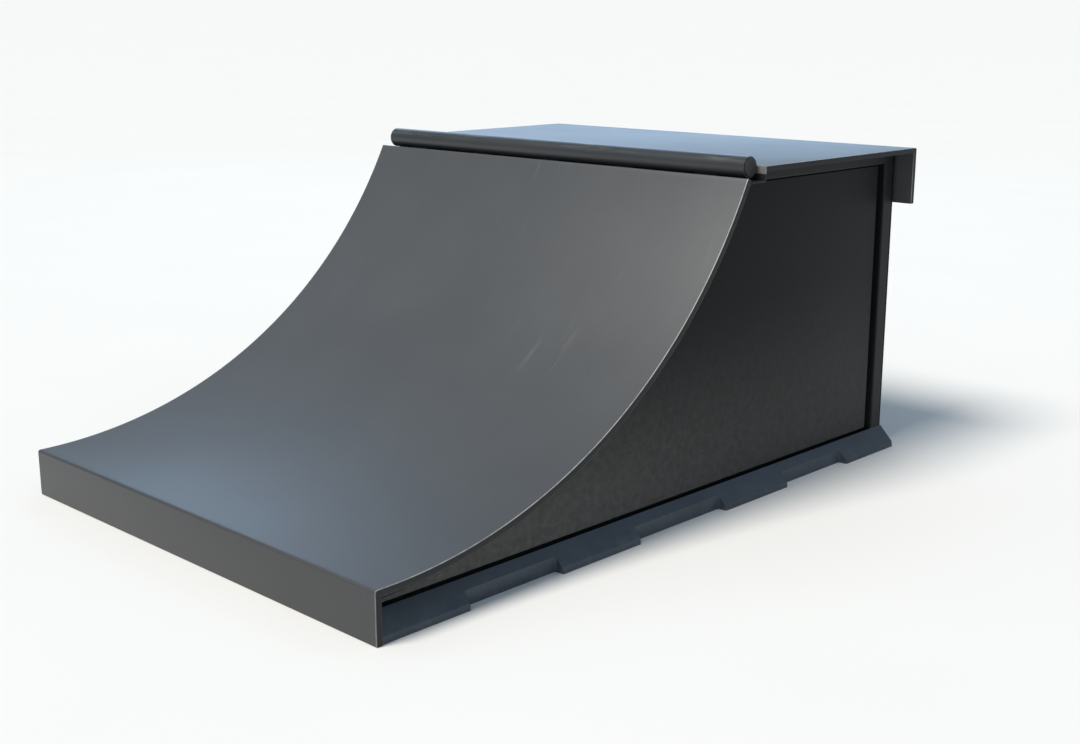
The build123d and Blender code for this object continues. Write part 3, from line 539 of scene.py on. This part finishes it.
# ---- deck sheet ------------------------------------------------------------------------------
def build_deck_sheet():
    """Flat deck whose rear edge turns down into the hook lip."""
    bm = bmesh.new()
    under = deck_high.z - deck_thickness
    lip = deck_high.y - deck_thickness
    outline = [
        (deck_low.y, under),
        (deck_low.y, deck_high.z),
        (deck_high.y, deck_high.z),
        (deck_high.y, deck_low.z),
        (lip, deck_low.z),
        (lip, under),
    ]
    flat_face(bm, [(deck_low.x, y, z) for y, z in outline])
    thicken(bm, bm.faces[:], (deck_high.x - deck_low.x, 0, 0))
    round_edges(bm, edges_at(bm, deck_high.y, deck_high.z), deck_bend_radius, 6)
    turned = turned_edges(bm, 50.0)
    outer = [e for e in turned if not all(abs(v.co.z - under) < near for v in e.verts)]
    round_edges(bm, outer, edge_radius, 3)
    return finish_piece(bm, "deck_sheet")


# ---- coping ----------------------------------------------------------------------------------
def build_coping_channel():
    """Folded channel under the coping, its upstand meeting the deck's front edge."""
    bm = bmesh.new()
    floor = channel_low.z + channel_thickness
    outline = [
        (channel_low.y, floor),
        (channel_high.y - channel_thickness, floor),
        (channel_high.y - channel_thickness, channel_high.z),
        (channel_high.y, channel_high.z),
        (channel_high.y, channel_low.z),
        (channel_low.y, channel_low.z),
    ]
    flat_face(bm, [(channel_low.x, y, z) for y, z in outline])
    thicken(bm, bm.faces[:], (channel_high.x - channel_low.x, 0, 0))
    round_edges(bm, edges_at(bm, channel_high.y, channel_low.z), channel_thickness, 5)
    return finish_piece(bm, "coping_channel")


def spin_about_tube(bm):
    """Sweeps a section once round the coping's middle line."""
    spin_round(bm, (0, coping_y, coping_z), (1, 0, 0), round_steps)


def build_coping_tube():
    """Round tube with eased rims at both ends."""
    bm = bmesh.new()
    outer = coping_z + coping_radius
    inner = outer - coping_wall
    wire(
        bm,
        [
            (tube_low.x, coping_y, inner),
            (tube_low.x, coping_y, outer - coping_rim),
            (tube_low.x + coping_rim, coping_y, outer),
            (tube_high.x - coping_rim, coping_y, outer),
            (tube_high.x, coping_y, outer - coping_rim),
            (tube_high.x, coping_y, inner),
        ],
        closed=True,
    )
    spin_about_tube(bm)
    return finish_piece(bm, "coping_tube")


def build_coping_plug(side, sign):
    """Push-in end plug: a flange with a dished middle on a hollow spigot."""
    low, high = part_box(f"coping_plug_{side}")
    flange = (high.z - low.z) / 2
    tip = high.x if sign > 0 else low.x
    inner_end = low.x if sign > 0 else high.x
    face = tube_high.x if sign > 0 else tube_low.x
    spigot = coping_radius - coping_wall - plug_clearance
    dish = plug_dish_share * flange
    profile = [
        (inner_end, spigot - coping_wall),
        (inner_end, spigot),
        (face, spigot),
        (face, flange),
        (tip - sign * plug_rim, flange),
        (tip, flange - plug_rim),
        (tip, dish),
        (tip - sign * plug_rim, dish - plug_dish_depth),
    ]
    bm = bmesh.new()
    wire(bm, [(x, coping_y, coping_z + r) for x, r in profile])
    spin_about_tube(bm)
    close_up(bm)
    return finish_piece(bm, f"coping_plug_{side}")


# ---- side panels ------------------------------------------------------------------------------
def build_side_panel(side, sign):
    """Folded tray below the curved rib: one face with rounded edges and a hollow back."""
    node = f"side_panel_{side}"
    low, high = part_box(node)
    outer_x = high.x if sign > 0 else low.x
    inner_x = low.x if sign > 0 else high.x
    start = math.asin((low.y - arc_y) / panel_radius)
    end = math.acos((arc_z - high.z) / panel_radius)
    arc = []
    for step in range(curve_steps + 1):
        angle = start + (end - start) * step / curve_steps
        arc.append((arc_y + panel_radius * math.sin(angle), arc_z - panel_radius * math.cos(angle)))
    outline = arc + [(high.y, high.z), (high.y, low.z), (low.y, low.z)]
    bm = bmesh.new()
    flat_face(bm, [(inner_x, y, z) for y, z in outline])
    bmesh.ops.remove_doubles(bm, verts=bm.verts[:], dist=near)
    thicken(bm, bm.faces[:], (outer_x - inner_x, 0, 0))
    rim = [e for e in bm.edges if all(abs(v.co.x - outer_x) < near for v in e.verts)]
    round_edges(bm, rim, panel_edge_radius, 5)
    back = [f for f in bm.faces if all(abs(v.co.x - inner_x) < near for v in f.verts)]
    bmesh.ops.inset_region(bm, faces=back, thickness=panel_sheet, use_even_offset=True)
    pushed = bmesh.ops.extrude_face_region(bm, geom=back)
    bmesh.ops.delete(bm, geom=back, context="FACES_ONLY")
    moved = [g for g in pushed["geom"] if isinstance(g, bmesh.types.BMVert)]
    bmesh.ops.translate(bm, verts=moved, vec=(outer_x - inner_x - sign * panel_sheet, 0, 0))
    bmesh.ops.recalc_face_normals(bm, faces=bm.faces[:])
    return finish_piece(bm, node)


# ---- skirts -----------------------------------------------------------------------------------
def build_skirt(side, sign):
    """Sloped moulding: a notched plan pulled up, then cut by the slope and the lip's batter."""
    node = f"skirt_{side}"
    low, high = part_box(node)
    wall = low.x if sign > 0 else high.x
    foot = high.x if sign > 0 else low.x
    step = wall + sign * notch_face_reach
    middle = (low.y + high.y) / 2
    end_middle = (high.y - low.y) / 2 - skirt_end_pad / 2
    pads = [
        (middle - end_middle, skirt_end_pad),
        (middle - skirt_pad_offset, skirt_pad),
        (middle + skirt_pad_offset, skirt_pad),
        (middle + end_middle, skirt_end_pad),
    ]
    outline = [(wall, low.y)]
    for place, length in pads:
        start, end = place - length / 2, place + length / 2
        outline += [(step, start), (foot, start), (foot, end), (step, end)]
    outline = [outline[0]] + outline[2:-1] + [(wall, high.y)]
    bm = bmesh.new()
    flat_face(bm, [(x, y, 0.0) for x, y in outline])
    foot_corners = [v for v in bm.verts if abs(v.co.x - foot) < weld]
    inner_corners = [v for v in bm.verts if abs(v.co.x - step) < weld]
    round_corners(bm, foot_corners, pad_corner_radius, 5)
    round_corners(bm, inner_corners, notch_corner_radius, 5)
    thicken(bm, bm.faces[:], (0, 0, skirt_top))
    lip_x = foot - sign * skirt_lip_batter
    slope = Vector((skirt_top - skirt_lip_height, 0, abs(lip_x - wall)))
    batter = Vector((skirt_lip_height, 0, skirt_lip_batter))
    for through, way in (((wall, 0, skirt_top), slope), ((foot, 0, 0), batter)):
        cut = bmesh.ops.bisect_plane(
            bm,
            geom=bm.verts[:] + bm.edges[:] + bm.faces[:],
            dist=1e-7,
            plane_co=through,
            plane_no=(sign * way.x, 0, way.z),
            clear_outer=True,
        )
        rim = [g for g in cut["geom_cut"] if isinstance(g, bmesh.types.BMEdge)]
        bmesh.ops.holes_fill(bm, edges=[e for e in rim if e.is_boundary], sides=0)
    bmesh.ops.remove_doubles(bm, verts=bm.verts[:], dist=near)
    bmesh.ops.recalc_face_normals(bm, faces=bm.faces[:])
    lip = [e for e in turned_edges(bm, 20.0) if all(abs(v.co.x - lip_x) < 2e-4 for v in e.verts)]
    round_edges(bm, lip, skirt_lip_radius, 4)
    round_edges(bm, turned_edges(bm, 55.0), skirt_edge_radius, 2)
    return finish_piece(bm, node)


# ---- access hatch and its latches -----------------------------------------------------------------
def first_rim(bm, inset, y, radius):
    """Edges of an upright rounded rectangle, inset from the hatch's outline."""
    low_x, high_x = hatch_low.x + inset, hatch_high.x - inset
    low_z, high_z = hatch_low.z + inset, hatch_high.z - inset
    corners = [(low_x, low_z), (high_x, low_z), (high_x, high_z), (low_x, high_z)]
    plate = flat_face(bm, [(x, y, z) for x, z in corners])
    round_corners(bm, plate.verts[:], radius, 8)
    bmesh.ops.delete(bm, geom=bm.faces[:], context="FACES_ONLY")
    return bm.edges[:]


def next_rim(bm, edges, rim, following):
    """Extrudes a rounded rim to the next inset, depth and corner radius."""
    (inset, _, radius), (next_inset, next_y, next_radius) = rim, following
    grown = bmesh.ops.extrude_edge_only(bm, edges=edges)["geom"]
    verts = {g for g in grown if isinstance(g, bmesh.types.BMVert)}
    for vert in verts:
        for axis in (0, 2):
            middle = (hatch_low[axis] + hatch_high[axis]) / 2
            half = (hatch_high[axis] - hatch_low[axis]) / 2
            side = 1 if vert.co[axis] > middle else -1
            center = middle + side * (half - inset - radius)
            next_center = middle + side * (half - next_inset - next_radius)
            vert.co[axis] = next_center + (vert.co[axis] - center) * next_radius / radius
        vert.co.y = next_y
    return [e for e in bm.edges if verts.issuperset(e.verts)]


def build_hatch():
    """Folded tray with a shallow pressed field that stiffens its face, drawn out rim by rim."""
    corner, rim, wall = hatch_corner_radius, hatch_rim_radius, hatch_wall
    front, field = hatch_high.y, hatch_high.y - press_depth
    back = hatch_low.y + hatch_back_gap
    rims = [(wall, front - wall - press_depth, corner - wall)]
    rims += [(wall, back, corner - wall), (0.0, back, corner)]
    for step in range(5):
        angle = math.radians(90) * step / 4
        inset = rim * (1 - math.cos(angle))
        rims.append((inset, front - rim + rim * math.sin(angle), corner - inset))
    press_end = press_inset + press_width
    rims += [
        (rim + flat_margin, front, corner - rim),
        (press_inset - flat_margin, front, press_radius + margin_radius),
        (press_inset, front, press_radius),
        (press_inset + press_width / 2, front - press_depth / 2, press_middle_radius),
        (press_end, field, press_floor_radius),
        (press_end + flat_margin, field, press_floor_radius - margin_radius),
    ]
    bm = bmesh.new()
    edges = first_rim(bm, *rims[0])
    for drawn, following in zip(rims, rims[1:]):
        edges = next_rim(bm, edges, drawn, following)
    close_up(bm)
    return finish_piece(bm, "access_hatch")


def round_bar(bm, middle, radius, start, end, edge=0.0008, steps=48):
    """A cylinder along Y between two places, its end rims rounded."""
    turn = Matrix.Rotation(math.radians(90), 4, "X")
    place = Matrix.Translation((middle[0], (start + end) / 2, middle[1])) @ turn
    made = bmesh.ops.create_cone(
        bm,
        cap_ends=True,
        segments=steps,
        radius1=radius,
        radius2=radius,
        depth=abs(end - start),
        matrix=place,
    )
    rims = {e for v in made["verts"] for e in v.link_edges if e.calc_face_angle(0.0) > 1.0}
    round_edges(bm, list(rims), edge, 3)


def build_latch_grip(level):
    """Quarter-turn latch: shaft, round plate and a wing to turn it by."""
    node = f"latch_grip_{level}"
    low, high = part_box(node)
    x, z = (low.x + high.x) / 2, (low.z + high.z) / 2
    plate_radius = (high.x - low.x) / 2
    plate_start = hatch_high.y + latch_plate_gap
    wing_foot = plate_start + latch_plate_thickness - wing_sink
    wing_top = high.y
    bm = bmesh.new()
    round_bar(bm, (x, z), latch_shaft_radius, low.y, plate_start + latch_shaft_reach)
    round_bar(bm, (x, z), plate_radius, plate_start, plate_start + latch_plate_thickness)
    wing = bmesh.new()
    corners = [(-1, -1), (1, -1), (1, 1), (-1, 1)]
    plan = [(x + across * wing_half_width, z + up * wing_half_length) for across, up in corners]
    flat_face(wing, [(along, wing_foot, height) for along, height in plan])
    round_corners(wing, wing.verts[:], wing_half_width * 0.98, 6)
    thicken(wing, wing.faces[:], (0, wing_top - wing_foot, 0))
    crown = [e for e in wing.edges if all(abs(v.co.y - wing_top) < weld for v in e.verts)]
    round_edges(wing, crown, wing_crown_radius, 4)
    spare = bpy.data.meshes.new("latch wing")
    wing.to_mesh(spare)
    wing.free()
    bm.from_mesh(spare)
    bpy.data.meshes.remove(spare)
    return finish_piece(bm, node)


# ---- screw feet ---------------------------------------------------------------------------------
def build_foot_pad(name):
    """Swivel pad: a disc with a rounded shoulder and a boss round the spindle."""
    low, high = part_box(name)
    middle = ((low.x + high.x) / 2, (low.y + high.y) / 2)
    radius = (high.x - low.x) / 2
    profile = [
        (0.0, low.z),
        (radius - sole_edge, low.z),
        (radius, low.z + sole_edge),
        (radius, low.z + sole_height),
        (radius - shoulder_inset, low.z + shoulder_height),
        (radius - crown_inset, low.z + crown_height),
        (boss_foot_radius, low.z + boss_foot_height),
        (boss_radius, high.z),
        (boss_bore_radius, high.z),
    ]
    bm = bmesh.new()
    wire(bm, [(middle[0] + r, middle[1], z) for r, z in profile])
    spin_round(bm, (middle[0], middle[1], 0), (0, 0, 1), foot_steps)
    close_up(bm)
    return finish_piece(bm, name)


build_ride_sheet()
build_deck_sheet()
build_coping_channel()
build_coping_tube()
for side, sign in (("left", -1), ("right", 1)):
    build_coping_plug(side, sign)
    build_side_panel(side, sign)
    build_skirt(side, sign)
    for end in ("front", "rear"):
        build_foot_pad(f"foot_pad_{end}_{side}")
build_hatch()
for level in ("lower", "upper"):
    build_latch_grip(level)


# ---- floor, light and camera ------------------------------------------------------------------------
def build_floor():
    """Wide pale studio floor."""
    bm = bmesh.new()
    bmesh.ops.create_grid(bm, x_segments=2, y_segments=2, size=300.0)
    mesh = bpy.data.meshes.new("studio floor")
    bm.to_mesh(mesh)
    bm.free()
    floor = bpy.data.objects.new("studio floor", mesh)
    bpy.context.scene.collection.objects.link(floor)
    look = Finish("floor paper")
    soft = look.noise(1.3, 2.0)
    color = look.mix(soft, grey(0.87, (1.01, 1.0, 0.98)), grey(0.90, (1.01, 1.0, 0.98)))
    mesh.materials.append(look.done(color, 0.85, Specular_IOR_Level=0.1))


def soft_box(name, place, aim, size, power, color=(1.0, 1.0, 1.0)):
    """A square studio light that isn't seen by the camera."""
    lamp = bpy.data.lights.new(name, "AREA")
    lamp.shape = "RECTANGLE"
    lamp.size, lamp.size_y = size
    lamp.energy = power
    lamp.color = color
    holder = bpy.data.objects.new(name, lamp)
    bpy.context.scene.collection.objects.link(holder)
    away = Vector(place) - Vector(aim)
    holder.matrix_world = Matrix.Translation(place) @ away.to_track_quat("Z", "Y").to_matrix().to_4x4()
    holder.visible_camera = False
    holder.visible_diffuse = False


def build_key(level, color):
    """Large soft key light from the front left, even over the whole floor."""
    lamp = bpy.data.lights.new("key", "SUN")
    lamp.energy = level
    lamp.color = color
    lamp.angle = math.radians(24)
    holder = bpy.data.objects.new("key", lamp)
    bpy.context.scene.collection.objects.link(holder)
    away = Vector((-0.10, -0.56, 0.82))
    holder.matrix_world = away.to_track_quat("Z", "Y").to_matrix().to_4x4()


def build_world(level, color, backdrop):
    """Dim cool light from all round, with a pale backdrop where the camera looks past the floor."""
    world = bpy.data.worlds.new("studio")
    world.use_nodes = True
    nodes, links = world.node_tree.nodes, world.node_tree.links
    light = nodes["Background"]
    light.inputs["Color"].default_value = color + (1.0,)
    light.inputs["Strength"].default_value = level
    seen = nodes.new("ShaderNodeBackground")
    seen.inputs["Color"].default_value = backdrop + (1.0,)
    path = nodes.new("ShaderNodeLightPath")
    chosen = nodes.new("ShaderNodeMixShader")
    links.new(path.outputs["Is Camera Ray"], chosen.inputs[0])
    links.new(light.outputs[0], chosen.inputs[1])
    links.new(seen.outputs[0], chosen.inputs[2])
    links.new(chosen.outputs[0], nodes["World Output"].inputs["Surface"])
    bpy.context.scene.world = world


def build_camera():
    """Seen from the front right corner, a little above the deck."""
    lens = bpy.data.cameras.new("camera")
    lens.sensor_fit = "HORIZONTAL"
    lens.sensor_width = 36.0
    lens.lens = 48.36
    lens.clip_end = 200.0
    holder = bpy.data.objects.new("camera", lens)
    bpy.context.scene.collection.objects.link(holder)
    back = Vector((0.67705, -0.69642, 0.23790))
    holder.matrix_world = (
        Matrix.Translation((2.4639, -2.3703, 1.0804)) @ back.to_track_quat("Z", "Y").to_matrix().to_4x4()
    )
    bpy.context.scene.camera = holder


build_floor()
build_world(0.42, (0.66, 0.83, 1.0), (0.925, 0.947, 0.940))
build_key(3.05, (1.0, 0.95, 0.88))
soft_box("sky", (-5.4, 5.6, 3.4), (0.0, 0.0, 0.7), (7.0, 4.4), 262.0, (0.50, 0.72, 1.0))
bpy.context.scene.view_settings.view_transform = "Standard"
build_camera()
